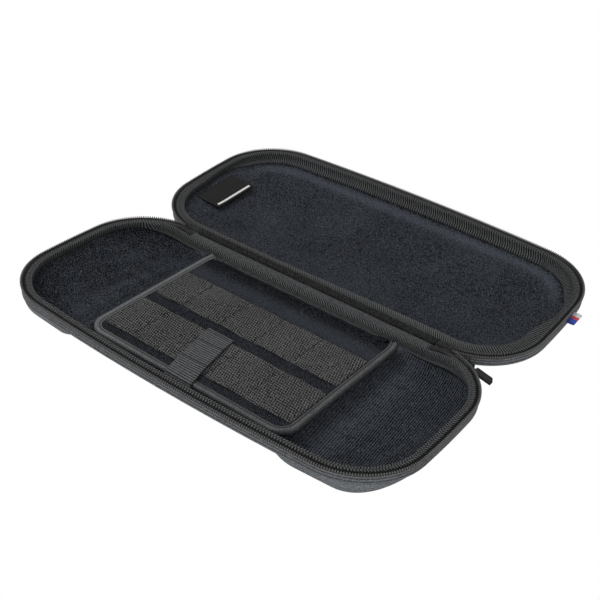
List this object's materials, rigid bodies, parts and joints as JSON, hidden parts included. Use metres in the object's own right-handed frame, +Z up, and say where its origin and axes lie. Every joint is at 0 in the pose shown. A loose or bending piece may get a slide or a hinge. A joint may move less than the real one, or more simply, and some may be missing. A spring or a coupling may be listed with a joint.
{
  "type": "portable game console case",
  "caption": "Zipped moulded clamshell case for a handheld game console, lying open, with deep rounded ends, a fleece lining, a domed lid and a hinged card flap with elastic bands.",
  "frame": {"origin": "bottom centre of the open case's bounding box, on the table", "axes": "+X along the hinge towards the zip's pull, +Y from the base towards the lid, +Z up"},
  "size_m": [0.3062, 0.2826, 0.0297],
  "materials": {
    "shell_cloth": "fine woven nylon bonded to moulded foam",
    "lining_fleece": "short matt fleece",
    "zip_tape": "woven tape",
    "zip_coil": "moulded coil teeth",
    "rim_binding": "ribbed twill tape",
    "hinge_cloth": "smooth woven strip",
    "woven_label": "satin weave with a pale stripe",
    "striped_ribbon": "ribbon striped in blue, red and white",
    "slider_metal": "black enamel",
    "pull_rubber": "smooth strap",
    "flap_board": "stiff sheet inside the flap",
    "flap_binding": "satin binding tape",
    "elastic_band": "fine ribbed elastic",
    "grosgrain_tab": "ribbed ribbon"
  },
  "bodies": {
    "base": {"base_shell": "shell_cloth", "base_lining": "lining_fleece", "base_zip_tape": "zip_tape", "base_zip_coil": "zip_coil", "base_binding": "rim_binding", "hinge_strip": "hinge_cloth", "zip_tail": "zip_tape", "zip_slider": "slider_metal", "flap_hinge_strip": "lining_fleece"},
    "lid": {"lid_shell": "shell_cloth", "lid_lining": "lining_fleece", "lid_zip_tape": "zip_tape", "lid_zip_coil": "zip_coil", "lid_binding": "rim_binding", "lid_label": "woven_label", "stripe_tag": "striped_ribbon"},
    "flap": {"flap_bottom_cover": "lining_fleece", "flap_board": "flap_board", "flap_top_cover": "lining_fleece", "flap_binding": "flap_binding", "card_band_front": "elastic_band", "card_band_rear": "elastic_band", "pull_tab": "grosgrain_tab"},
    "pull": {"zip_pull": "pull_rubber"}
  },
  "joints": [
    {"name": "lid_hinge", "type": "hinge", "parent": "base", "child": "lid", "pos_m": [-0.00235, 0.00007, 0.0201], "axis": [-1, 0, 0], "range_deg": [-175.28, 0], "deforming": ["hinge_strip"]},
    {"name": "flap_hinge", "type": "hinge", "parent": "base", "child": "flap", "pos_m": [-0.00235, -0.01308, 0.018], "axis": [-1, 0, 0], "range_deg": [0, 178], "deforming": ["flap_hinge_strip"]},
    {"name": "zip_pull_swing", "type": "hinge", "parent": "base", "child": "pull", "pos_m": [0.12195, 0.00007, 0.01375], "axis": [0, -1, 0], "range_deg": [-34, 105]}
  ]
}
